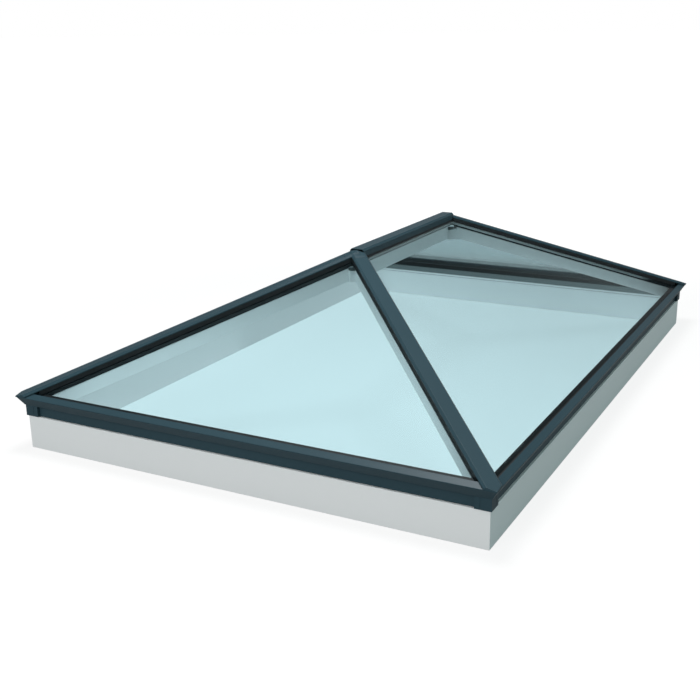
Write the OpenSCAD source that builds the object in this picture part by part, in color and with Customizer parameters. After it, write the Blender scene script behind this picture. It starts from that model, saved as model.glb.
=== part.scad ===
// Hipped roof lantern: four sloping glass units in a slate-coloured aluminium frame on a pale kerb.
// Millimetres, +Z up, origin under the middle of the kerb, a triangular end facing -Y, ridge along Y.

/* [Kerb] */
// Outside width of the kerb, across the ridge
kerb_w = 2000; // [1200:10:2400]
// Outside length of the kerb, along the ridge
kerb_l = 3000; // [2700:10:4500]
// Height of the kerb boards
kerb_h = 140; // [100:5:250]
// Thickness of the kerb boards
kerb_t = 38; // [32:1:70]
// Thickness of the compressed seal strip on the kerb
seal_t = 2; // [1:0.5:5]
// Set-back of the seal strip from both faces of the ring beam
seal_inset = 2; // [1:0.5:6]

/* [Roof] */
// Pitch of all four slopes, in degrees
pitch = 25.5; // [18:0.5:35]

/* [Ring beam] */
// Set-back of the ring beam's outer face from the kerb's outer face
ring_inset = 8; // [4:0.5:12]
// Wall of the ring beam around its chamber
ring_wall = 3; // [2:0.5:5]
// Length of each leg of the corner cleats
cleat_leg = 95; // [70:5:140]
// Height of the corner cleats
cleat_h = 34; // [20:1:38]
// Clearance of the corner cleats in the chamber
cleat_gap = 0.4; // [0.2:0.1:1]

/* [Eaves cap] */
// Overhang of the drip edge beyond the kerb's outer face
eaves_out = 29; // [22:0.5:36]
// Height of the drip edge above the kerb
eaves_h = 86; // [80:1:100]
// Width of the sloping face, along the slope
eaves_face = 29; // [22:0.5:36]
// Thickness of the cap over the glass
cap_t = 11; // [8:0.5:14]
// Height of the soffit above the kerb
soffit_h = 48; // [42:1:50]
// Depth of the soffit in front of the ring beam's face
soffit_d = 16; // [12:0.5:20]
// Thickness of the drip edge
drip_t = 2.5; // [1.5:0.5:4]
// Wall of the eaves cap around its chamber
eaves_wall = 3; // [2:0.5:4]
// Clearance between the cap's back and the edge of the glass
edge_gap = 1.5; // [1:0.5:3]

/* [Corner covers] */
// How far the corner covers stand out beyond the kerb's outer face
cover_out = 6; // [2:0.5:7]
// Length of each leg of the corner covers
cover_leg = 61; // [45:1:90]
// Distance of the upright groove from the outer corner
groove_at = 40; // [20:1:42]
// Width and depth of the upright groove
groove = 1.5; // [0.5:0.5:3]

/* [Glazing] */
// Thickness of each pane
pane_t = 6; // [4:0.5:8]
// Gap between the two panes
cavity = 16; // [10:1:20]
// Thickness of the outer glazing gasket
bead_t = 3; // [2:0.5:5]
// Thickness of the inner bed gasket
bed_t = 3; // [2:0.5:5]
// How far the glass is tucked under the eaves cap
tuck = 5; // [3:0.5:8]
// Width of the gasket lip that shows on the glass above the eaves cap
lip_w = 7; // [3:0.5:10]
// Thickness of the gasket lip at its edge
lip_t = 0.6; // [0.3:0.1:1.5]
// Width of the edge spacer along the eaves
spacer_eaves = 30; // [14:1:40]
// Width of the edge spacer along hips and ridge
spacer_side = 20; // [14:1:30]
// Set-back of the spacer from the edge of the glass
spacer_inset = 2; // [1:0.5:4]
// Distance of the glass from the middle of a hip, in plan
hip_clear = 15; // [14:0.5:18]
// Distance of the glass from the middle of the ridge, in plan
ridge_clear = 20; // [19:0.5:24]

/* [Hip and ridge caps] */
// Width of the flat top
cap_flat = 52; // [46:1:70]
// Size of the bevel beside the flat top
cap_bevel = 8; // [4:0.5:12]
// Wall of the caps
cap_wall = 3; // [2:0.5:4]
// Height of the hip cap's top over the meeting line of the eaves planes
hip_lift = 4.5; // [3.5:0.5:10]
// Height of the ridge cap's top over the meeting line of the eaves planes
ridge_lift = 10; // [5:0.5:16]
// Height of the gasket legs under the hip caps
hip_leg_h = 18; // [6:0.5:20]
// Height of the gasket legs under the ridge cap
leg_h = 10; // [4:0.5:12]
// Width of the gasket legs under the caps
leg_w = 4.5; // [3:0.5:6]
// Set-back of the gasket legs from the cap's side
leg_inset = 0.5; // [0.2:0.1:1]
// Overhang of the hip caps' tips beyond the kerb's outer face
tip_out = 32; // [30:0.5:45]

/* [Rafters and ridge beam] */
// Width of rafters and ridge beam
raft_w = 40; // [38:1:50]
// Depth of the rafters below their shoulders
raft_h = 55; // [40:1:90]
// Depth of the ridge beam below its shoulders
beam_h = 64; // [50:1:120]
// Wall of rafters and ridge beam around their chamber
raft_wall = 3; // [2:0.5:5]
// Width of the nose that carries the caps between the glass edges
nose_w = 8; // [5:0.5:9]
// Set-back of the nose from the kerb's outer face
nose_inset = 14; // [13:0.5:30]
// Nearest edge of the bed gaskets to the middle of rafter or beam
bed_in = 9; // [8:0.5:11]
// Farthest edge of the bed gaskets from the middle of rafter or beam
bed_out = 18; // [14:0.5:18.5]

/* [Ridge ends] */
// Stand-off of the boss faces beyond the width of a rafter
boss_gap = 3; // [1:0.5:8]
// Reach of the boss below the ridge beam
boss_drop = 5; // [2:1:20]
// Length of the arms of the ridge end covers, in plan
arm = 60; // [58:1:120]
// Seam between a ridge end cover and the caps
seam = 1; // [0.5:0.5:2]

/* [Show] */
// Name of the piece to draw, or all

/* [Hidden] */

// Colours of the pieces
slate = [0.24, 0.32, 0.36];
pale = [0.79, 0.80, 0.81];
black = [0.05, 0.07, 0.08];
sky = [0.70, 0.85, 0.90, 0.5];
bare = [0.70, 0.71, 0.72];

// Half sizes and slopes
hw = kerb_w / 2;
hl = kerb_l / 2;
quarter = 90;
cp = cos(pitch);
sp = sin(pitch);
tp = tan(pitch);
diag = sqrt(2);
hip_pitch = atan(tp / diag);
ch = cos(hip_pitch);
// Fall of a slope beside a hip, per unit sideways, square to the hip
hip_fall = tp * ch / diag;
// Depth square to a slope, as depth square to a hip
hip_deep = ch / cp;
ridge_half = hl - hw;
// Run-out of cuts past the pieces, and lengths that reach past everything
over = 10;
reach = 120;
far = kerb_w + kerb_l;

// Height of the eaves plane over the kerb's outer face, and of the ridge line
cz = kerb_h + eaves_h + eaves_out * tp;
rz = cz + hw * tp;

// Distance of the boss faces from the point where hips and ridge meet
boss_r = raft_w + boss_gap;

// Depths square to the slope, down from the eaves plane
d_glass = cap_t + bead_t;
d_cavity = d_glass + pane_t;
d_inner = d_cavity + cavity;
d_bed = d_inner + pane_t;
d_ring = d_bed + bed_t;

// Places along the slope, from the kerb's outer face
s_drip = -eaves_out / cp;
s_cap = s_drip + eaves_face;
s_glass = s_cap - tuck;
s_back = s_glass - edge_gap;

// A point of a side's section, from its place along the slope and its depth
function on_slope(s, d) = [s * cp + d * sp, cz + s * sp - d * cp];
// Height of a plane parallel to the slope at depth d, over the distance u from the kerb's face
function plane_z(u, d) = cz + u * tp - d / cp;
// The same plane in the section square to a hip, and in the section of the ridge
function hip_z(y, d) = -y * hip_fall - d * hip_deep;
function ridge_z(x, d) = rz - x * tp - d / cp;

function half_of(k) = k % 2 == 0 ? hw : hl;
function off_of(k) = k % 2 == 0 ? hl : hw;
function corner_x(c) = c < 2 ? hw : -hw;
function corner_y(c) = c == 0 || c == 3 ? -hl : hl;
function node_y(c) = c == 0 || c == 3 ? -ridge_half : ridge_half;
// Compass angle from the ridge end down each hip
function hip_turn(c) = -quarter / 2 + quarter * c;
function hand(c) = c % 2 == 0 ? 1 : -1;

// A polygon moved inwards by d, given anticlockwise
function turn_left(v) = [-v[1], v[0]];
function unit(v) = v / norm(v);
function inset(p, d) = [
  for (i = [0:len(p) - 1])
    let (
      a = p[(i + len(p) - 1) % len(p)],
      b = p[i],
      c = p[(i + 1) % len(p)],
      m = turn_left(unit(b - a)),
      n = turn_left(unit(c - b))
    )
    b + d * (m + n) / (1 + m * n)
];

// Placing of a side: x along it, y inwards from the kerb's outer face
module side(k) {
  rotate([0, 0, quarter * k])
    translate([0, -off_of(k), 0])
      children();
}

// A section laid along x: its first number runs along y, its second along z
module along_x(length, pts) {
  rotate([quarter, 0, quarter])
    linear_extrude(height = length)
      polygon(pts);
}

// Plan of a side between the two hips, from outside the kerb to depth d
module mitre(k, d, gap) {
  h = half_of(k) - gap;
  translate([0, 0, -over])
    linear_extrude(height = far)
      polygon([[-h - reach, -reach], [h + reach, -reach], [h - d, d], [d - h, d]]);
}

// A section run along a side with mitred ends
module run(k, pts, d, gap) {
  h = half_of(k) + reach;
  side(k)
    intersection() {
      translate([-h, 0, 0])
        along_x(h + h, pts);
      mitre(k, d, gap);
    }
}

// A slab parallel to a slope, from depth d1 to depth d2
module slab(k, pts, d1, d2) {
  side(k)
    translate([0, 0, cz])
      rotate([pitch, 0, 0])
        translate([0, 0, -d2])
          linear_extrude(height = d2 - d1)
            polygon(pts);
}

// Outline of a glass unit in its slope, moved inwards at eaves, hips and ridge
function hip_edge(k, h) = half_of(k) - d_glass * sp - hip_clear * diag - h * sqrt(1 + cp * cp);
function ridge_edge(r) = (hw - ridge_clear - d_glass * sp) / cp - r;
function outline(k, e, h, r) =
  let (
    s0 = s_glass + e,
    x0 = hip_edge(k, h) - s0 * cp,
    s1 = k % 2 == 0 ? hip_edge(k, h) / cp : ridge_edge(r),
    x1 = hip_edge(k, h) - s1 * cp
  )
  k % 2 == 0
    ? [[-x0, s0], [x0, s0], [0, s1]]
    : [[-x0, s0], [x0, s0], [x1, s1], [-x1, s1]];

// A section laid up a hip, from the plan distance a0 outside the kerb's corner to past the ridge end
module up_hip(c, a0, pts) {
  start = a0 * diag / ch;
  translate([corner_x(c), corner_y(c), cz])
    rotate([0, 0, hip_turn(c) + quarter * 2])
      rotate([0, -hip_pitch, 0])
        translate([-start, 0, 0])
          along_x(start + (hw + reach) * diag / ch, pts);
}

// Plan strip over a hip, from the distance g off the ridge end down to past the corner
module hip_strip(c, g) {
  translate([0, node_y(c), -over])
    rotate([0, 0, hip_turn(c)])
      translate([g, -reach, 0])
        cube([far, reach + reach, far]);
}

// Plan wedge between the middle of the short side and the bisector against the ridge
module hip_wedge(c) {
  open = 67.5;
  translate([0, node_y(c), -over])
    rotate([0, 0, hip_turn(c)])
      linear_extrude(height = far)
        polygon([[0, 0], [kerb_w, -hand(c) * kerb_w], [kerb_w, hand(c) * kerb_w * tan(open)]]);
}

// Box over the kerb, its walls the distance u inside the kerb's outer faces
module inner_box(u) {
  translate([u - hw, u - hl, -over])
    cube([kerb_w - u - u, kerb_l - u - u, far]);
}

// Section of a hip or ridge cap: top at z1, foot at z0
cap_half = cap_flat / 2 + cap_bevel;
function cap_out(z1, z0) = [
  [-cap_half, z0],
  [cap_half, z0],
  [cap_half, z1 - cap_bevel],
  [cap_flat / 2, z1],
  [-cap_flat / 2, z1],
  [-cap_half, z1 - cap_bevel]
];
bevel_wall = cap_wall * tan(quarter / 4);
function cap_in(z1, z0) = [
  [cap_wall - cap_half, z0],
  [cap_half - cap_wall, z0],
  [cap_half - cap_wall, z1 - cap_bevel - bevel_wall],
  [cap_flat / 2 - bevel_wall, z1 - cap_wall],
  [bevel_wall - cap_flat / 2, z1 - cap_wall],
  [cap_wall - cap_half, z1 - cap_bevel - bevel_wall]
];

// Tops and feet of the caps
hip_top = hip_lift * ch;
hip_foot = min(hip_z(cap_half, d_glass) + hip_leg_h, hip_top - cap_bevel - cap_wall);
ridge_top = rz + ridge_lift;
ridge_foot = ridge_z(cap_half, d_glass) + leg_h;
leg_out = cap_half - leg_inset;
leg_in = leg_out - leg_w;

module kerb(k) {
  color(pale)
    run(k, [[0, 0], [kerb_t, 0], [kerb_t, kerb_h], [0, kerb_h]], kerb_t + over, 0);
}

module kerb_seal() {
  a = ring_inset + seal_inset;
  b = kerb_t - seal_inset;
  color(black)
    translate([0, 0, kerb_h])
      difference() {
        translate([a - hw, a - hl, 0])
          cube([kerb_w - a - a, kerb_l - a - a, seal_t]);
        translate([b - hw, b - hl, -over])
          cube([kerb_w - b - b, kerb_l - b - b, seal_t + over + over]);
      }
}

// Section of the ring beam
ring_foot = kerb_h + seal_t;
ring_pts = [
  [ring_inset, ring_foot],
  [kerb_t, ring_foot],
  [kerb_t, plane_z(kerb_t, d_ring)],
  [ring_inset, plane_z(ring_inset, d_ring)]
];

module ring(k) {
  color(slate)
    difference() {
      run(k, ring_pts, kerb_t + over, 0);
      run(k, inset(ring_pts, ring_wall), kerb_t + over, 0);
    }
}

module corner_cleat() {
  a = ring_inset + ring_wall + cleat_gap;
  b = kerb_t - ring_wall - cleat_gap;
  color(bare)
    for (c = [0:3])
      translate([corner_x(c), corner_y(c), ring_foot + ring_wall])
        rotate([0, 0, quarter * c])
          linear_extrude(height = cleat_h)
            polygon([[-a, a], [-a, cleat_leg], [-b, cleat_leg], [-b, b], [-cleat_leg, b], [-cleat_leg, a]]);
}

// Section of the eaves cap, and of the block its chamber is taken from
soffit_z = kerb_h + soffit_h;
soffit_u = ring_inset - soffit_d;
drip_z = kerb_h + eaves_h - drip_t;
eaves_pts = [
  on_slope(s_drip, 0),
  [-eaves_out, drip_z],
  [soffit_u, soffit_z],
  [ring_inset, soffit_z],
  [ring_inset, plane_z(ring_inset, d_ring)],
  on_slope(s_back, d_ring),
  on_slope(s_back, cap_t),
  on_slope(s_cap, cap_t),
  on_slope(s_cap, 0)
];
eaves_core = [
  [-eaves_out, drip_z],
  [soffit_u, soffit_z],
  [ring_inset, plane_z(ring_inset, d_ring)],
  on_slope(s_back, cap_t)
];

module eaves(k) {
  color(slate)
    difference() {
      run(k, eaves_pts, kerb_t, 0);
      run(k, inset(eaves_core, eaves_wall), kerb_t, 0);
    }
}

module cover(c) {
  rise = soffit_z - ring_foot;
  end = cover_leg - cover_out;
  line = groove_at - cover_out;
  color(slate)
    translate([corner_x(c), corner_y(c), ring_foot])
      rotate([0, 0, quarter * c])
        difference() {
          linear_extrude(height = rise)
            polygon([
              [cover_out, -cover_out],
              [cover_out, end],
              [-ring_inset, end],
              [-ring_inset, ring_inset],
              [-end, ring_inset],
              [-end, -cover_out]
            ]);
          translate([cover_out - groove, line, -over])
            cube([groove + over, groove, rise + over + over]);
          translate([-line - groove, -cover_out - over, -over])
            cube([groove, groove + over, rise + over + over]);
        }
}

// Section of a rafter: nose between the glass edges, shoulders under the bed gaskets
raft_half = raft_w / 2;
nose_half = nose_w / 2;
raft_foot = hip_z(raft_half, d_ring) - raft_h;
raft_pts = [
  [-raft_half, raft_foot],
  [raft_half, raft_foot],
  [raft_half, hip_z(raft_half, d_ring)],
  [nose_half, hip_z(nose_half, d_ring)],
  [nose_half, hip_top - cap_wall],
  [-nose_half, hip_top - cap_wall],
  [-nose_half, hip_z(nose_half, d_ring)],
  [-raft_half, hip_z(raft_half, d_ring)]
];
raft_core = [
  [-raft_half, raft_foot],
  [raft_half, raft_foot],
  [raft_half, hip_z(raft_half, d_ring)],
  [-raft_half, hip_z(raft_half, d_ring)]
];

// Room taken by the ring beam along a side, out to past its outer face
module ring_room(k) {
  h = half_of(k) + reach;
  side(k)
    translate([-h, 0, 0])
      along_x(h + h, [
        [-reach, -over],
        [kerb_t, -over],
        [kerb_t, plane_z(kerb_t, d_ring)],
        [-reach, plane_z(-reach, d_ring)]
      ]);
}

module raft(c) {
  color(slate)
    difference() {
      intersection() {
        up_hip(c, reach, raft_pts);
        hip_strip(c, boss_r);
        inner_box(nose_inset);
      }
      up_hip(c, reach, inset(raft_core, raft_wall));
      ring_room(c);
      ring_room((c + 1) % 4);
    }
}

// Section of the ridge beam
beam_top = ridge_z(raft_half, d_ring);
beam_foot = beam_top - beam_h;
beam_pts = [
  [-raft_half, beam_foot],
  [raft_half, beam_foot],
  [raft_half, beam_top],
  [nose_half, ridge_z(nose_half, d_ring)],
  [nose_half, ridge_top - cap_wall],
  [-nose_half, ridge_top - cap_wall],
  [-nose_half, ridge_z(nose_half, d_ring)],
  [-raft_half, beam_top]
];
beam_core = [
  [-raft_half, beam_foot],
  [raft_half, beam_foot],
  [raft_half, beam_top],
  [-raft_half, beam_top]
];

// A section laid along the ridge, centred
module on_ridge(h, pts) {
  translate([0, h, 0])
    rotate([quarter, 0, 0])
      linear_extrude(height = h + h)
        polygon(pts);
}

module ridge_beam() {
  h = ridge_half - boss_r;
  color(slate)
    difference() {
      on_ridge(h, beam_pts);
      on_ridge(h + over, inset(beam_core, raft_wall));
    }
}

// Boss at a ridge end: one face towards each rafter and one towards the ridge beam
module boss(c) {
  foot = beam_foot - boss_drop;
  top = ridge_z(boss_r * diag, d_ring);
  color(bare)
    translate([0, node_y(c), foot])
      rotate([0, 0, c == 0 ? 0 : quarter * 2])
        intersection() {
          rotate([0, 0, quarter / 2])
            translate([-boss_r, -boss_r, 0])
              cube([boss_r + boss_r, boss_r + boss_r, top - foot]);
          translate([-reach, -reach, 0])
            cube([reach + reach, reach + boss_r, top - foot]);
        }
}

// Bed gaskets under the inner panes
bed_s0 = s_glass + tuck;
bed_s1 = (kerb_t - seal_inset - d_ring * sp) / cp;
module ring_bed() {
  gap = hip_clear * diag;
  color(black)
    for (k = [0:3])
      run(k, [
        on_slope(bed_s0, d_ring),
        on_slope(bed_s1, d_ring),
        on_slope(bed_s1, d_bed),
        on_slope(bed_s0, d_bed)
      ], kerb_t + over, gap);
}

module raft_bed() {
  color(black)
    for (c = [0:3], m = [-1, 1])
      intersection() {
        up_hip(c, reach, [
          [m * bed_in, hip_z(bed_in, d_ring)],
          [m * bed_out, hip_z(bed_out, d_ring)],
          [m * bed_out, hip_z(bed_out, d_bed)],
          [m * bed_in, hip_z(bed_in, d_bed)]
        ]);
        hip_strip(c, boss_r);
        inner_box(kerb_t);
      }
}

module ridge_bed() {
  color(black)
    for (m = [-1, 1])
      on_ridge(ridge_half - boss_r, [
        [m * bed_in, ridge_z(bed_in, d_ring)],
        [m * bed_out, ridge_z(bed_out, d_ring)],
        [m * bed_out, ridge_z(bed_out, d_bed)],
        [m * bed_in, ridge_z(bed_in, d_bed)]
      ]);
}

module inner(k) {
  color(sky)
    slab(k, outline(k, 0, 0, 0), d_inner, d_bed);
}

module outer(k) {
  color(sky)
    slab(k, outline(k, 0, 0, 0), d_glass, d_cavity);
}

module spacer(k) {
  color(black)
    difference() {
      slab(k, outline(k, spacer_inset, spacer_inset, spacer_inset), d_cavity, d_inner);
      slab(k, outline(k, spacer_eaves, spacer_side, spacer_side), d_cavity - over, d_inner + over);
    }
}

// Gasket between the eaves cap and the outer pane, with a lip on the glass
module bead(k) {
  color(black)
    run(k, [
      on_slope(s_glass, d_glass),
      on_slope(s_cap + lip_w, d_glass),
      on_slope(s_cap + lip_w, d_glass - lip_t),
      on_slope(s_cap, cap_t),
      on_slope(s_glass, cap_t)
    ], kerb_t, 0);
}

// Gasket legs between a hip cap's sides and the outer panes
module hip_leg(c) {
  color(black)
    for (m = [-1, 1])
      intersection() {
        up_hip(c, reach, [
          [m * leg_in, hip_z(leg_in, d_glass)],
          [m * leg_out, hip_z(leg_out, d_glass)],
          [m * leg_out, hip_foot],
          [m * leg_in, hip_foot]
        ]);
        hip_wedge(c);
        hip_strip(c, cap_half * tan(quarter / 4) + leg_w);
        inner_box(nose_inset);
      }
}

module ridge_leg() {
  h = ridge_half - cap_half * tan(quarter / 4);
  color(black)
    for (m = [-1, 1])
      on_ridge(h, [
        [m * leg_in, ridge_z(leg_in, d_glass)],
        [m * leg_out, ridge_z(leg_out, d_glass)],
        [m * leg_out, ridge_foot],
        [m * leg_in, ridge_foot]
      ]);
}

// Room taken by the eaves cap along a side, up to its sloping face
module eaves_room(k) {
  deep = reach / 2;
  run(k, [
    on_slope(-reach, deep),
    on_slope(s_cap + edge_gap, deep),
    on_slope(s_cap + edge_gap, 0),
    on_slope(-reach, 0)
  ], reach, 0);
}

module hip_cap(c) {
  color(slate)
    difference() {
      intersection() {
        up_hip(c, reach, cap_out(hip_top, hip_foot));
        hip_strip(c, arm + seam);
        inner_box(-tip_out);
      }
      intersection() {
        up_hip(c, reach, cap_in(hip_top, hip_foot - over));
        inner_box(0);
      }
      eaves_room(c);
      eaves_room((c + 1) % 4);
    }
}

module ridge_cap() {
  h = ridge_half - arm - seam;
  color(slate)
    difference() {
      on_ridge(h, cap_out(ridge_top, ridge_foot));
      on_ridge(h + over, cap_in(ridge_top, ridge_foot - over));
    }
}

// Plan strip over the ridge, from its end the distance arm towards the middle
module ridge_arm(c, pts, extra) {
  translate([0, node_y(c), 0])
    rotate([0, 0, c == 0 ? quarter * 2 : 0])
      rotate([quarter, 0, 0])
        linear_extrude(height = arm + extra)
          polygon(pts);
}

// Plan square around a ridge end, cut off square to a hip at the end of the arm
module arm_strip(c, extra) {
  translate([0, node_y(c), -over])
    rotate([0, 0, hip_turn(c)])
      translate([0, -reach, 0])
        cube([arm + extra, reach + reach, far]);
}

// Three-armed cover over a ridge end
module ridge_end(c) {
  d = c == 0 ? 3 : 2;
  color(slate)
    difference() {
      union() {
        ridge_arm(c, cap_out(ridge_top, ridge_foot), 0);
        for (h = [c, d])
          intersection() {
            up_hip(h, 0, cap_out(hip_top, hip_foot));
            arm_strip(h, 0);
          }
      }
      ridge_arm(c, cap_in(ridge_top, ridge_foot - over), over);
      for (h = [c, d])
        intersection() {
          up_hip(h, 0, cap_in(hip_top, hip_foot - over));
          arm_strip(h, over);
        }
    }
}

kerb(0);  // kerb_front
kerb(1);  // kerb_right
kerb(2);  // kerb_back
kerb(3);  // kerb_left
kerb_seal();
ring(0);  // ring_front
ring(1);  // ring_right
ring(2);  // ring_back
ring(3);  // ring_left
corner_cleat();
eaves(0);  // eaves_front
eaves(1);  // eaves_right
eaves(2);  // eaves_back
eaves(3);  // eaves_left
cover(0);  // cover_fr
cover(1);  // cover_br
cover(2);  // cover_bl
cover(3);  // cover_fl
raft(0);  // raft_fr
raft(1);  // raft_br
raft(2);  // raft_bl
raft(3);  // raft_fl
ridge_beam();
boss(0);  // boss_front
boss(1);  // boss_back
ring_bed();
raft_bed();
ridge_bed();
inner(0);  // inner_front
inner(1);  // inner_right
inner(2);  // inner_back
inner(3);  // inner_left
spacer(0);  // spacer_front
spacer(1);  // spacer_right
spacer(2);  // spacer_back
spacer(3);  // spacer_left
outer(0);  // outer_front
outer(1);  // outer_right
outer(2);  // outer_back
outer(3);  // outer_left
bead(0);  // bead_front
bead(1);  // bead_right
bead(2);  // bead_back
bead(3);  // bead_left
hip_leg(0);  // hip_leg_fr
hip_leg(1);  // hip_leg_br
hip_leg(2);  // hip_leg_bl
hip_leg(3);  // hip_leg_fl
ridge_leg();
hip_cap(0);  // hip_cap_fr
hip_cap(1);  // hip_cap_br
hip_cap(2);  // hip_cap_bl
hip_cap(3);  // hip_cap_fl
ridge_cap();
ridge_end(0);  // ridge_end_front
ridge_end(1);  // ridge_end_back
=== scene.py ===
"""Looks of the hipped roof lantern.

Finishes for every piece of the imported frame, and a plain studio to see it in.
"""

import math

import bpy
from mathutils import Matrix, Vector

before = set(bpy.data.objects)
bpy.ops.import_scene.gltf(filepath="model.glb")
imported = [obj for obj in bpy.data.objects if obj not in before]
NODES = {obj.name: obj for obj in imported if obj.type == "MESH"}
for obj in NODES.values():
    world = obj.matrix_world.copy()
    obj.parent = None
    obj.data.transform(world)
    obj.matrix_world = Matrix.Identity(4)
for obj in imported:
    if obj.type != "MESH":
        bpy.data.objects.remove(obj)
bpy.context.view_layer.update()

bl_info = {
    "name": "Roof lantern",
    "version": (1, 0, 0),
    "blender": (4, 5, 0),
    "location": "3D View > Sidebar > Lantern",
    "description": "Finishes for a hipped roof lantern, and a studio to see it in",
    "category": "Object",
}

SIDES = ("front", "right", "back", "left")
SHORT_SIDES = ("front", "back")
LONG_SIDES = ("right", "left")
CORNERS = ("fr", "br", "bl", "fl")

# Noise of each finish: features per metre, and octaves of finer detail
COAT_CLOUD = (2.3, 4.0)
COAT_PEEL = (420.0, 2.0)
COAT_FLECK = (1400.0, 1.0)
INSIDE_CLOUD = (2.6, 4.0)
PAINT_CLOUD = (1.7, 4.0)
PAINT_STIPPLE = (260.0, 3.0)
PAINT_BRUSH = (60.0, 2.0)
RUBBER_BLOOM = (35.0, 4.0)
RUBBER_SKIN = (700.0, 2.0)
SPACER_SKIN = (300.0, 3.0)
MILL_STRETCH = (40.0, 40.0, 900.0)
MILL_LINES = (1.0, 3.0)
GLASS_DRIFT = (0.9, 2.0)

# Darkest and palest tone of each finish, as shares of its colour
COAT_TONES = (0.88, 1.12)
INSIDE_TONES = (0.97, 1.03)
PAINT_TONES = (0.975, 1.025)
RUBBER_TONES = (0.8, 1.3)
SPACER_TONES = (0.85, 1.2)
MILL_TONES = (0.9, 1.08)
GLASS_TONES = (0.99, 1.01)

# Least roughness of each finish, and how far its noise raises it
INSIDE_ROUGH = (0.42, 0.1)
PAINT_ROUGH = (0.55, 0.1)
RUBBER_ROUGH = (0.55, 0.18)
SPACER_ROUGH = (0.5, 0.15)
MILL_ROUGH = (0.32, 0.16)
COAT_WORN = 0.05
CLOUD_ROUGH = 0.06
FLECK_ROUGH = 0.05

# Strength of each finish's relief, and its depth in metres
COAT_RELIEF = (0.12, 0.0006)
INSIDE_RELIEF = (0.1, 0.0006)
PAINT_RELIEF = (0.03, 0.0008)
RUBBER_RELIEF = (0.1, 0.0004)
MILL_RELIEF = (0.06, 0.0004)

# Gloss, and what the glass lets through to the lamps
COAT_SPECULAR = 0.14
INSIDE_SPECULAR = 0.3
GLASS_INDEX = 1.15
GLASS_TO_LAMPS = (0.97, 0.98, 0.985, 1.0)

# Widths over which one finish gives way to the next, in metres
PAINT_FADE = 0.006
PAINT_WAVER = 0.002
STRIP_FADE = 0.007
CAP_FADE = 0.004
SEAL_FADE = 0.001
SEALANT_FADE = 0.03

# Rounded edges
WELD_GAP = 0.00002
BEVEL_STEPS = 2
BEVEL_ABOVE = math.radians(20)

# The camera
SENSOR_WIDE = 36.0
VIEW_REACH = 1000.0

# Places and widths of the lamps, in metres
OVERHEAD_AT, OVERHEAD_WIDE = (-0.2, -0.4, 5.1), 1.8
FORWARD_AT, FORWARD_WIDE = (-0.4, -8.0, 3.2), 4.0
FEET_AT, FEET_WIDE, FEET_DEEP = (-0.25, -1.9, 0.6), 1.5, 0.2
BESIDE_AT, BESIDE_WIDE = (2.2, -1.2, 0.9), 1.0
ROOM_WIDE, ROOM_LONG, ROOM_HEIGHT = 1.923, 2.923, 0.0003
ROOM_FRONT_AT, ROOM_FRONT_LONG = -0.731, 1.461

# Light of the floor, where 1 is white, and where it changes, in metres
FLOOR_DROP = 0.0005
FLOOR_PAINT = 0.14
FLOOR_ON_PIECES = 0.12
FLOOR_NEAR, FLOOR_FAR = 0.84, 0.96
NEAR_REACH, FAR_REACH = 2.0, 4.0
# The floor seen through the panes has painted shade: darker from front to back.
FLOOR_FRONT, FLOOR_BACK_SHADED, FLOOR_BEHIND = 0.96, 0.88, 0.96
FLOOR_SHADE_SPAN = (-0.5, 1.4)
BEHIND_FADE = 0.05

# Light of the surroundings, and the directions between which it changes
BACKDROP_TOP, BACKDROP_RISE = 0.05, 0.95
BACKDROP_HEIGHTS = (0.2, 0.03)
VEIL_LEVEL = 0.2
VEIL_HEIGHTS = (0.47, 0.24)
VEIL_ACROSS = (-0.3, 0.0)
AMBIENT_LEAN = 0.35
COOL_ACROSS = (-0.2, 0.8)


def each(stem, ends):
    """Names of like pieces: one stem, one ending for each place."""
    return [f"{stem}_{end}" for end in ends]


# Finishes and sizes that a user would change


def colour(name, description, default):
    return bpy.props.FloatVectorProperty(
        name=name,
        description=description,
        default=default,
        size=3,
        min=0.0,
        max=1.0,
        subtype="COLOR",
    )


def length(name, description, default):
    return bpy.props.FloatProperty(
        name=name,
        description=description,
        default=default,
        min=0.0,
        unit="LENGTH",
        subtype="DISTANCE",
    )


def angle(name, description, degrees):
    return bpy.props.FloatProperty(
        name=name,
        description=description,
        default=math.radians(degrees),
        subtype="ANGLE",
        unit="ROTATION",
    )


def share(name, description, default):
    return bpy.props.FloatProperty(
        name=name,
        description=description,
        default=default,
        min=0.0,
        max=1.0,
        subtype="FACTOR",
    )


def power(name, description, default):
    return bpy.props.FloatProperty(
        name=name, description=description, default=default, min=0.0, unit="POWER"
    )


def amount(name, description, default):
    return bpy.props.FloatProperty(
        name=name, description=description, default=default, min=0.0
    )


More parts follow.
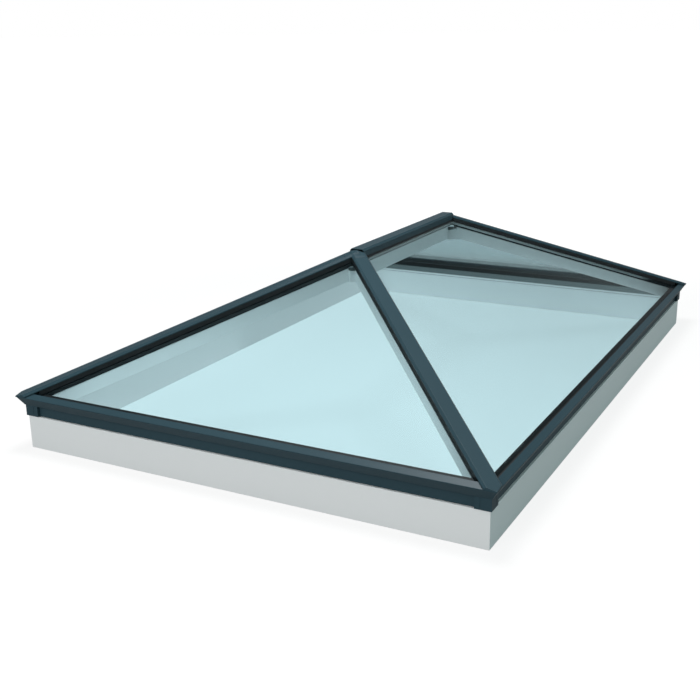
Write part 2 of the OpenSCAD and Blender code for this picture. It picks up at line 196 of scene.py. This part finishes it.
class LanternFinish(bpy.types.PropertyGroup):
    """Colours and small sizes of the lantern's pieces."""

    coat: colour(
        "Powder coat", "Colour of the coated aluminium", (0.026, 0.053, 0.067)
    )
    ring: colour(
        "Ring beam", "Colour of the ring beam's room side", (0.005, 0.009, 0.011)
    )
    room_x: length("Room width", "Half the clear width inside the kerb", 0.963)
    room_y: length("Room length", "Half the clear length inside the kerb", 1.463)
    paint_top: length("Paint line", "Height of the paint on the ring beam", 0.151)
    strip: colour(
        "Ring foot", "Strip over that paint, room side", (0.155, 0.180, 0.185)
    )
    strip_top: length("Strip line", "Height of the top of that strip", 0.187)
    coat_rough: share("Coat roughness", "Roughness of the powder coat", 0.34)
    coat_edge: length("Frame edge", "Rounding of the frame's edges", 0.0006)
    inside: colour(
        "Inside coat", "Colour of the bars seen from the room", (0.77, 0.78, 0.78)
    )
    paint: colour("Kerb paint", "Colour of the painted kerb", (0.76, 0.775, 0.78))
    paint_edge: length("Kerb edge", "Rounding of the kerb's edges", 0.0015)
    rubber: colour("Gaskets", "Colour of gaskets and seal", (0.006, 0.010, 0.012))
    sealant_top: length(
        "Sealant line", "Height up to which sealant hides spacers", 0.27
    )
    spacer: colour(
        "Spacers", "Colour of the long sides' spacers", (0.33, 0.365, 0.372)
    )
    pitch: angle("Pitch", "Slope of the panes", 25.5)
    ridge_half: length("Ridge", "Half the length from hip to hip at the ridge", 0.5)
    glass_line: length(
        "Glass line", "Underside of the glass, square to the panes", 0.605
    )
    seal_line: length(
        "Seal line", "Top of the inner seal, square to the panes", 0.616
    )
    tint: colour("Glass", "Tint of one pane of glass", (0.730, 0.866, 0.892))
    mill: colour("Bare metal", "Colour of bare aluminium", (0.62, 0.63, 0.64))


class LanternStage(bpy.types.PropertyGroup):
    """Camera, floor and lamps."""

    lens: bpy.props.FloatProperty(
        name="Lens",
        description="Focal length of the camera, in millimetres",
        default=53.29,
        min=1.0,
        subtype="DISTANCE_CAMERA",
    )
    eye: bpy.props.FloatVectorProperty(
        name="Eye",
        description="Place of the camera",
        default=(2.0379, -4.3832, 1.6404),
        size=3,
        unit="LENGTH",
        subtype="TRANSLATION",
    )
    turn: angle("Turn", "Turn of the camera round the lantern", 28.16)
    rise: angle("Rise", "Angle at which the camera looks down", 17.34)
    roll: angle("Roll", "Roll of the camera about its own axis", -0.84)
    floor: length("Floor", "Width of the floor", 400.0)
    back_kerb: length("Back kerb", "Distance of the back kerb from the middle", 1.5)
    ambient: amount("Ambient", "Strength of the light from all round", 0.5)
    behind: colour(
        "Floor behind", "Floor behind the back kerb, seen in panes", (1.0, 0.66, 0.61)
    )
    shade_side: colour("Shade side", "Colour of the light from the right", (0.7, 1, 1))
    overhead: power("Overhead lamp", "Power of the wide lamp above", 215.0)
    forward: power("Front lamp", "Power of the wide lamp before the short side", 255.0)
    warmth: colour("Room colour", "Colour of the lights in the room", (1.0, 0.94, 0.93))
    below: power(
        "Room light", "Power of the light that comes up through the kerb", 17.2
    )
    below_front: power(
        "Room light, front", "Power of what the front half of that light has over", 3.3
    )
    feet: power("Rafter light", "Power of the lamp on the feet of the rafters", 10.2)
    beside: power(
        "Side light", "Power of the lamp on the ridge beam and the far rafter", 14.5
    )


# Shader maths


class Value:
    """A node's output that Python's operators can be used on."""

    def __init__(self, graph, socket):
        self.graph = graph
        self.socket = socket

    def _maths(self, operation, first, second):
        return self.graph.node(
            "ShaderNodeMath", {"operation": operation}, {0: first, 1: second}
        )

    def __add__(self, other):
        return self._maths("ADD", self, other)

    __radd__ = __add__

    def __mul__(self, other):
        return self._maths("MULTIPLY", self, other)

    __rmul__ = __mul__

    def __sub__(self, other):
        return self._maths("SUBTRACT", self, other)

    def __rsub__(self, other):
        return self._maths("SUBTRACT", other, self)


class Graph:
    """The nodes of one material or of the world."""

    def __init__(self, tree):
        self.tree = tree
        tree.nodes.clear()

    def node(self, kind, settings=None, sockets=None, out=0):
        """Adds a node: its settings first, then the values and links of its sockets."""
        made = self.tree.nodes.new(kind)
        for name, value in (settings or {}).items():
            setattr(made, name, value)
        for key, value in (sockets or {}).items():
            if isinstance(value, Value):
                self.tree.links.new(value.socket, made.inputs[key])
            else:
                made.inputs[key].default_value = value
        return Value(self, made.outputs[out])

    def end(self, shader, kind="ShaderNodeOutputMaterial"):
        made = self.tree.nodes.new(kind)
        self.tree.links.new(shader.socket, made.inputs["Surface"])

    def surface(self, sockets):
        """Ends a material in one Principled shader."""
        self.end(self.node("ShaderNodeBsdfPrincipled", None, sockets))

    def place(self):
        """Coordinates in metres, fixed to the piece."""
        return self.node("ShaderNodeTexCoord", out="Object")

    def axes(self, where, names):
        """The parts of a vector along the named axes."""
        return [
            self.node("ShaderNodeSeparateXYZ", None, {0: where}, out=name)
            for name in names
        ]

    def rays(self, kind):
        """1 for rays of one kind."""
        return self.node("ShaderNodeLightPath", out=kind)

    def stretched(self, scale):
        """The piece's coordinates, scaled along each axis."""
        return self.node(
            "ShaderNodeMapping",
            {"vector_type": "POINT"},
            {"Vector": self.place(), "Scale": scale},
        )

    def noise(self, where, scale, detail):
        return self.node(
            "ShaderNodeTexNoise",
            {"noise_dimensions": "3D"},
            {"Vector": where, "Scale": scale, "Detail": detail},
            out="Fac",
        )

    def blend(self, share_of_second, first, second):
        """Mix of two colours, which are the Mix node's sockets 6 and 7."""
        return self.node(
            "ShaderNodeMix",
            {"data_type": "RGBA"},
            {"Factor": share_of_second, 6: first, 7: second},
            out=2,
        )

    def varied(self, mask, tone, limits):
        """A colour that goes from darker to paler with a mask."""
        darkest, palest = limits
        return self.blend(mask, shade(tone, darkest), shade(tone, palest))

    def size(self, value):
        """A value without its sign."""
        return self.node("ShaderNodeMath", {"operation": "ABSOLUTE"}, {0: value})

    def near(self, value, limit):
        """1 where a value lies within a limit on either side of zero."""
        return self.node(
            "ShaderNodeMath",
            {"operation": "LESS_THAN"},
            {0: self.size(value), 1: limit},
        )

    def ramp(self, value, start, end):
        """Smooth rise from 0 to 1 between two values."""
        return self.node(
            "ShaderNodeMapRange",
            {"interpolation_type": "SMOOTHSTEP"},
            {"Value": value, "From Min": start, "From Max": end},
        )

    def bump(self, height, strength, distance):
        return self.node(
            "ShaderNodeBump",
            None,
            {"Height": height, "Strength": strength, "Distance": distance},
        )


def shade(tone, by):
    """A colour made darker or paler by a factor, with full alpha."""
    return (*[min(1.0, max(0.0, c * by)) for c in tone], 1.0)


def plain(tone):
    """A colour as it is, with full alpha."""
    return shade(tone, 1.0)


def grey(level):
    """A neutral colour."""
    return (level, level, level, 1.0)


def rising(mask, limits):
    """A roughness that a mask raises from its least."""
    least, rise = limits
    return least + rise * mask


def material(name):
    made = bpy.data.materials.new(name)
    made.use_nodes = True
    return made, Graph(made.node_tree)


# Finishes


def pane_depth(g, look, here):
    """Distance from the middle of the kerb's foot, square to the nearest pane."""
    x, y, z = g.axes(here, "XYZ")
    outward = g.node(
        "ShaderNodeMath",
        {"operation": "MAXIMUM"},
        {0: g.size(x), 1: g.size(y) - look.ridge_half},
    )
    return math.sin(look.pitch) * outward + math.cos(look.pitch) * z


def slate_coat(look):
    """Satin powder coat: fine orange peel, faint clouding and worn sheen."""
    made, g = material("slate_powder_coat")
    here = g.place()
    cloud = g.noise(here, *COAT_CLOUD)
    peel = g.noise(here, *COAT_PEEL)
    fleck = g.noise(here, *COAT_FLECK)
    worn = look.coat_rough - COAT_WORN + CLOUD_ROUGH * cloud
    g.surface(
        {
            "Base Color": g.varied(cloud, look.coat, COAT_TONES),
            "Roughness": worn + FLECK_ROUGH * fleck,
            "Normal": g.bump(peel, *COAT_RELIEF),
            "Specular IOR Level": COAT_SPECULAR,
        }
    )
    return made


def ring_coat(look):
    """Coat of the ring beam: its room side is dark over a grey strip and kerb paint."""
    made, g = material("ring_coat")
    here = g.place()
    cloud = g.noise(here, *COAT_CLOUD)
    peel = g.noise(here, *COAT_PEEL)
    brush = g.noise(here, *PAINT_BRUSH)
    x, y, z = g.axes(here, "XYZ")
    inside = g.near(x, look.room_x) * g.near(y, look.room_y)
    paint_line = z + PAINT_WAVER * brush
    painted = g.ramp(paint_line, look.paint_top + PAINT_FADE, look.paint_top)
    slate = g.varied(cloud, look.coat, COAT_TONES)
    dark = g.varied(cloud, look.ring, COAT_TONES)
    foot = g.ramp(z, look.strip_top, look.strip_top - STRIP_FADE)
    room_side = g.blend(foot, dark, plain(look.strip))
    room_side = g.blend(painted, room_side, plain(look.paint))
    g.surface(
        {
            "Base Color": g.blend(inside, slate, room_side),
            "Roughness": look.coat_rough + CLOUD_ROUGH * cloud,
            "Normal": g.bump(peel, *COAT_RELIEF),
            "Specular IOR Level": COAT_SPECULAR,
        }
    )
    return made


def inside_coat(look):
    """Pale satin coat of the bars seen from the room; painted shade, gasket black,
    under the caps.
    """
    made, g = material("pale_inside_coat")
    here = g.place()
    cloud = g.noise(here, *INSIDE_CLOUD)
    peel = g.noise(here, *COAT_PEEL)
    depth = pane_depth(g, look, here)
    # Painted shade: above the underside of the glass, under the caps, the bars are
    # coloured gasket black.
    shade_under_caps = g.ramp(depth, look.glass_line, look.glass_line + CAP_FADE)
    pale = g.varied(cloud, look.inside, INSIDE_TONES)
    g.surface(
        {
            "Base Color": g.blend(shade_under_caps, pale, plain(look.rubber)),
            "Roughness": rising(cloud, INSIDE_ROUGH),
            "Normal": g.bump(peel, *INSIDE_RELIEF),
            "Specular IOR Level": INSIDE_SPECULAR,
        }
    )
    return made


def kerb_paint(look):
    """Pale paint on board: roller stipple and faint clouding."""
    made, g = material("pale_kerb_paint")
    here = g.place()
    cloud = g.noise(here, *PAINT_CLOUD)
    stipple = g.noise(here, *PAINT_STIPPLE)
    g.surface(
        {
            "Base Color": g.varied(cloud, look.paint, PAINT_TONES),
            "Roughness": rising(stipple, PAINT_ROUGH),
            "Normal": g.bump(stipple, *PAINT_RELIEF),
        }
    )
    return made


def black_rubber(look):
    """Extruded gasket: matt, with a bloom that varies along it."""
    made, g = material("black_rubber")
    here = g.place()
    bloom = g.noise(here, *RUBBER_BLOOM)
    skin = g.noise(here, *RUBBER_SKIN)
    g.surface(
        {
            "Base Color": g.varied(bloom, look.rubber, RUBBER_TONES),
            "Roughness": rising(skin, RUBBER_ROUGH),
            "Normal": g.bump(skin, *RUBBER_RELIEF),
        }
    )
    return made


def spacer_bar(look, name, tone):
    """Edge spacer: dark seal along the inner pane, sealant over it at the eaves."""
    made, g = material(name)
    here = g.place()
    skin = g.noise(here, *SPACER_SKIN)
    (z,) = g.axes(here, "Z")
    depth = pane_depth(g, look, here)
    unsealed = g.ramp(depth, look.seal_line - SEAL_FADE, look.seal_line + SEAL_FADE)
    bare = unsealed * g.ramp(z, look.sealant_top, look.sealant_top + SEALANT_FADE)
    bar = g.varied(skin, tone, SPACER_TONES)
    g.surface(
        {
            "Base Color": g.blend(bare, plain(look.rubber), bar),
            "Roughness": rising(skin, SPACER_ROUGH),
        }
    )
    return made


def mill_aluminium(look):
    """Bare extruded metal with drawn lines."""
    made, g = material("mill_aluminium")
    lines = g.noise(g.stretched(MILL_STRETCH), *MILL_LINES)
    g.surface(
        {
            "Base Color": g.varied(lines, look.mill, MILL_TONES),
            "Metallic": 1.0,
            "Roughness": rising(lines, MILL_ROUGH),
            "Normal": g.bump(lines, *MILL_RELIEF),
        }
    )
    return made


def tinted_glass(look):
    """Float glass: clear to lamps, with a faint drift of tint across the sheet."""
    made, g = material("tinted_glass")
    drift = g.noise(g.place(), *GLASS_DRIFT)
    body = g.node(
        "ShaderNodeBsdfPrincipled",
        None,
        {
            "Base Color": g.varied(drift, look.tint, GLASS_TONES),
            "Roughness": 0.0,
            "IOR": GLASS_INDEX,
            "Transmission Weight": 1.0,
        },
    )
    lamp_ray = g.rays("Is Shadow Ray")
    clear = g.node("ShaderNodeBsdfTransparent", None, {"Color": GLASS_TO_LAMPS})
    g.end(g.node("ShaderNodeMixShader", None, {0: lamp_ray, 1: body, 2: clear}))
    return made


def finish(names, made, edge=0.0):
    """Gives pieces their finish, and rounds their edges."""
    for name in names:
        piece = NODES[name]
        piece.data.materials.clear()
        piece.data.materials.append(made)
        if edge > 0:
            weld = piece.modifiers.new("weld", "WELD")
            weld.merge_threshold = WELD_GAP
            bevel = piece.modifiers.new("edges", "BEVEL")
            bevel.width = edge
            bevel.segments = BEVEL_STEPS
            bevel.limit_method = "ANGLE"
            bevel.angle_limit = BEVEL_ABOVE
            bevel.miter_outer = "MITER_ARC"


# One operator for each group of like pieces


class LANTERN_OT_kerb(bpy.types.Operator):
    """Paint the four kerb boards"""

    bl_idname = "lantern.kerb"
    bl_label = "Kerb boards"

    def execute(self, context):
        look = context.scene.lantern_finish
        finish(each("kerb", SIDES), kerb_paint(look), look.paint_edge)
        return {"FINISHED"}


class LANTERN_OT_frame(bpy.types.Operator):
    """Coat ring beam, eaves caps, corner covers and the caps of hips and ridge"""

    bl_idname = "lantern.frame"
    bl_label = "Coated frame"

    def execute(self, context):
        look = context.scene.lantern_finish
        finish(each("ring", SIDES), ring_coat(look), look.coat_edge)
        names = each("eaves", SIDES) + each("cover", CORNERS)
        names += each("hip_cap", CORNERS) + ["ridge_cap"]
        names += each("ridge_end", SHORT_SIDES)
        finish(names, slate_coat(look), look.coat_edge)
        return {"FINISHED"}


class LANTERN_OT_bars(bpy.types.Operator):
    """Coat rafters, ridge beam and bosses in the pale inside colour"""

    bl_idname = "lantern.bars"
    bl_label = "Rafters and ridge beam"

    def execute(self, context):
        look = context.scene.lantern_finish
        names = each("raft", CORNERS) + ["ridge_beam"] + each("boss", SHORT_SIDES)
        finish(names, inside_coat(look), look.coat_edge)
        return {"FINISHED"}


class LANTERN_OT_gaskets(bpy.types.Operator):
    """Blacken gaskets, beds and the kerb seal"""

    bl_idname = "lantern.gaskets"
    bl_label = "Gaskets and seal"

    def execute(self, context):
        look = context.scene.lantern_finish
        names = each("bead", SIDES) + each("hip_leg", CORNERS)
        names += ["ridge_leg", "ring_bed", "raft_bed", "ridge_bed", "kerb_seal"]
        finish(names, black_rubber(look))
        return {"FINISHED"}


class LANTERN_OT_spacers(bpy.types.Operator):
    """Finish the edge spacers: grey in the long sides, black in the short ones"""

    bl_idname = "lantern.spacers"
    bl_label = "Edge spacers"

    def execute(self, context):
        look = context.scene.lantern_finish
        pale = spacer_bar(look, "grey_spacer", look.spacer)
        dark = spacer_bar(look, "black_spacer", look.rubber)
        finish(each("spacer", LONG_SIDES), pale)
        finish(each("spacer", SHORT_SIDES), dark)
        return {"FINISHED"}


class LANTERN_OT_brackets(bpy.types.Operator):
    """Leave the corner cleats in bare metal"""

    bl_idname = "lantern.brackets"
    bl_label = "Corner cleats"

    def execute(self, context):
        look = context.scene.lantern_finish
        finish(["corner_cleat"], mill_aluminium(look), look.coat_edge)
        return {"FINISHED"}


class LANTERN_OT_glass(bpy.types.Operator):
    """Glaze the inner and outer panes"""

    bl_idname = "lantern.glass"
    bl_label = "Panes"

    def execute(self, context):
        names = each("inner", SIDES) + each("outer", SIDES)
        finish(names, tinted_glass(context.scene.lantern_finish))
        return {"FINISHED"}


class LANTERN_OT_stage(bpy.types.Operator):
    """Set up camera, floor, surroundings and lamps"""

    bl_idname = "lantern.stage"
    bl_label = "Studio"

    def execute(self, context):
        scene, stage = context.scene, context.scene.lantern_stage
        scene.view_settings.view_transform = "Standard"
        scene.camera = self.camera(scene, stage)
        self.floor(scene, stage)
        self.surroundings(scene, stage)
        self.lamps(scene, stage)
        return {"FINISHED"}

    def camera(self, scene, stage):
        data = bpy.data.cameras.new("camera")
        data.sensor_width = SENSOR_WIDE
        data.lens = stage.lens
        data.clip_end = VIEW_REACH
        made = bpy.data.objects.new("camera", data)
        scene.collection.objects.link(made)
        a, e, r = stage.turn, stage.rise, stage.roll
        level = Vector((math.cos(a), math.sin(a), 0))
        back = Vector(
            (math.sin(a) * math.cos(e), -math.cos(a) * math.cos(e), math.sin(e))
        )
        upright = back.cross(level)
        right = math.cos(r) * level + math.sin(r) * upright
        up = math.cos(r) * upright - math.sin(r) * level
        turned = Matrix((right, up, back)).transposed().to_4x4()
        made.matrix_world = Matrix.Translation(stage.eye) @ turned
        return made

    def floor(self, scene, stage):
        """A white floor that is dimmer round the lantern, so that its shadow shows.
        Seen through the panes it has painted shade, darker towards the back.
        """
        half = stage.floor / 2
        mesh = bpy.data.meshes.new("floor")
        mesh.from_pydata(
            [(-half, -half, 0), (half, -half, 0), (half, half, 0), (-half, half, 0)],
            [],
            [(0, 1, 2, 3)],
        )
        made = bpy.data.objects.new("floor", mesh)
        made.location.z = -FLOOR_DROP
        scene.collection.objects.link(made)
        finish_of, g = material("white_floor")
        paint = g.node("ShaderNodeBsdfDiffuse", None, {"Color": grey(FLOOR_PAINT)})
        x, y = g.axes(g.place(), "XY")
        through = g.rays("Is Transmission Ray")
        direct = g.rays("Is Camera Ray")
        far = g.ramp(x * x + y * y, NEAR_REACH**2, FAR_REACH**2)
        around = g.blend(far, grey(FLOOR_NEAR), grey(FLOOR_FAR))
        # Painted shade: the floor seen through the panes grows darker towards the back.
        shade_to_back = g.ramp(y, *FLOOR_SHADE_SPAN)
        within = g.blend(shade_to_back, grey(FLOOR_FRONT), grey(FLOOR_BACK_SHADED))
        past = g.ramp(y, stage.back_kerb, stage.back_kerb + BEHIND_FADE)
        within = g.blend(past, within, shade(stage.behind, FLOOR_BEHIND))
        outside = g.blend(direct, grey(FLOOR_ON_PIECES), around)
        lit = g.blend(through, outside, within)
        white = g.node("ShaderNodeEmission", None, {"Color": lit, "Strength": 1.0})
        g.end(g.node("ShaderNodeAddShader", None, {0: paint, 1: white}))
        mesh.materials.append(finish_of)

    def surroundings(self, scene, stage):
        """A backdrop that glass and gloss show, and even light for the pieces."""
        world = bpy.data.worlds.new("surroundings")
        world.use_nodes = True
        scene.world = world
        g = Graph(world.node_tree)
        across, height = g.axes(g.node("ShaderNodeTexCoord"), "XZ")
        veil = g.ramp(height, *VEIL_HEIGHTS) * g.ramp(across, *VEIL_ACROSS)
        low = g.ramp(height, *BACKDROP_HEIGHTS)
        backdrop = BACKDROP_TOP + BACKDROP_RISE * low + VEIL_LEVEL * veil
        seen = self.seen(g, "Is Glossy Ray", "Is Transmission Ray")
        ambient = stage.ambient * (1 + AMBIENT_LEAN * across)
        cool = (1 - seen) * g.ramp(across, *COOL_ACROSS)
        tone = g.blend(cool, grey(1.0), plain(stage.shade_side))
        strength = ambient + seen * (backdrop - ambient)
        light = g.blend(strength, grey(0.0), tone)
        sky = g.node("ShaderNodeBackground", None, {"Color": light, "Strength": 1.0})
        g.end(sky, "ShaderNodeOutputWorld")

    def seen(self, g, *kinds):
        """1 for camera rays and these kinds, and 0 for rays that light a piece."""
        rest = 1 - g.rays("Is Camera Ray")
        for kind in kinds:
            rest = rest * (1 - g.rays(kind))
        return 1 - rest

    def lamps(self, scene, stage):
        """Two wide lamps outside, and four for what is seen through the panes."""
        overhead = self.lamp(
            scene, "overhead", OVERHEAD_AT, OVERHEAD_WIDE, stage.overhead
        )
        forward = self.lamp(scene, "forward", FORWARD_AT, FORWARD_WIDE, stage.forward)
        forward.visible_glossy = False
        panes = each("inner", SIDES) + each("outer", SIDES)
        self.link(overhead, "panes", panes, "EXCLUDE")
        room = [
            self.upward(scene, "below", 0.0, ROOM_LONG, stage.below),
            self.upward(
                scene, "below_front", ROOM_FRONT_AT, ROOM_FRONT_LONG, stage.below_front
            ),
        ]
        feet = self.lamp(scene, "feet", FEET_AT, FEET_WIDE, stage.feet)
        feet.data.shape = "RECTANGLE"
        feet.data.size_y = FEET_DEEP
        self.hide(feet)
        rafters = each("raft", CORNERS) + each("boss", SHORT_SIDES)
        self.link(feet, "rafters", rafters, "INCLUDE")
        self.link(forward, "others", rafters, "EXCLUDE")
        beside = self.lamp(scene, "beside", BESIDE_AT, BESIDE_WIDE, stage.beside)
        self.hide(beside)
        self.link(beside, "far_bars", ["ridge_beam", "raft_br"], "INCLUDE")
        for lamp in (feet, beside, *room):
            lamp.data.color = stage.warmth
        for lamp in (overhead, forward, feet, beside, *room):
            lamp.visible_transmission = False

    def lamp(self, scene, name, place, size, watts):
        """A square lamp that faces the middle of the kerb's foot."""
        data = bpy.data.lights.new(name, "AREA")
        data.size = size
        data.energy = watts
        made = bpy.data.objects.new(name, data)
        made.location = place
        made.rotation_mode = "QUATERNION"
        made.rotation_quaternion = (-Vector(place)).to_track_quat("-Z", "Y")
        scene.collection.objects.link(made)
        return made

    def upward(self, scene, name, y, reach, watts):
        """A lamp on the floor inside the kerb, which only lights."""
        made = self.lamp(scene, name, (0, y, ROOM_HEIGHT), ROOM_WIDE, watts)
        made.data.shape = "RECTANGLE"
        made.data.size_y = reach
        made.rotation_mode = "XYZ"
        made.rotation_euler = (math.pi, 0, 0)
        self.hide(made)
        return made

    def hide(self, lamp):
        """Keeps a lamp out of the picture and out of reflections."""
        lamp.visible_camera = False
        lamp.visible_glossy = False

    def link(self, lamp, name, pieces, state):
        """Makes a lamp light these pieces alone, or leave them out."""
        made = bpy.data.collections.new(name)
        for piece in pieces:
            made.objects.link(NODES[piece])
        for member in made.collection_objects:
            member.light_linking.link_state = state
        lamp.light_linking.receiver_collection = made


STEPS = (
    LANTERN_OT_kerb,
    LANTERN_OT_frame,
    LANTERN_OT_bars,
    LANTERN_OT_gaskets,
    LANTERN_OT_spacers,
    LANTERN_OT_brackets,
    LANTERN_OT_glass,
    LANTERN_OT_stage,
)


class LANTERN_PT_panel(bpy.types.Panel):
    """The lantern's steps and its finishes"""

    bl_idname = "LANTERN_PT_panel"
    bl_label = "Roof lantern"
    bl_space_type = "VIEW_3D"
    bl_region_type = "UI"
    bl_category = "Lantern"

    def draw(self, context):
        for step in STEPS:
            self.layout.operator(step.bl_idname)
        for group in (context.scene.lantern_finish, context.scene.lantern_stage):
            column = self.layout.column()
            for name in group.__annotations__:
                column.prop(group, name)


CLASSES = (LanternFinish, LanternStage, *STEPS, LANTERN_PT_panel)


def register():
    for made in CLASSES:
        bpy.utils.register_class(made)
    bpy.types.Scene.lantern_finish = bpy.props.PointerProperty(type=LanternFinish)
    bpy.types.Scene.lantern_stage = bpy.props.PointerProperty(type=LanternStage)


def unregister():
    del bpy.types.Scene.lantern_stage
    del bpy.types.Scene.lantern_finish
    for made in reversed(CLASSES):
        bpy.utils.unregister_class(made)


def main():
    register()
    for step in STEPS:
        group, name = step.bl_idname.split(".")
        getattr(getattr(bpy.ops, group), name)()


if __name__ == "__main__":
    main()
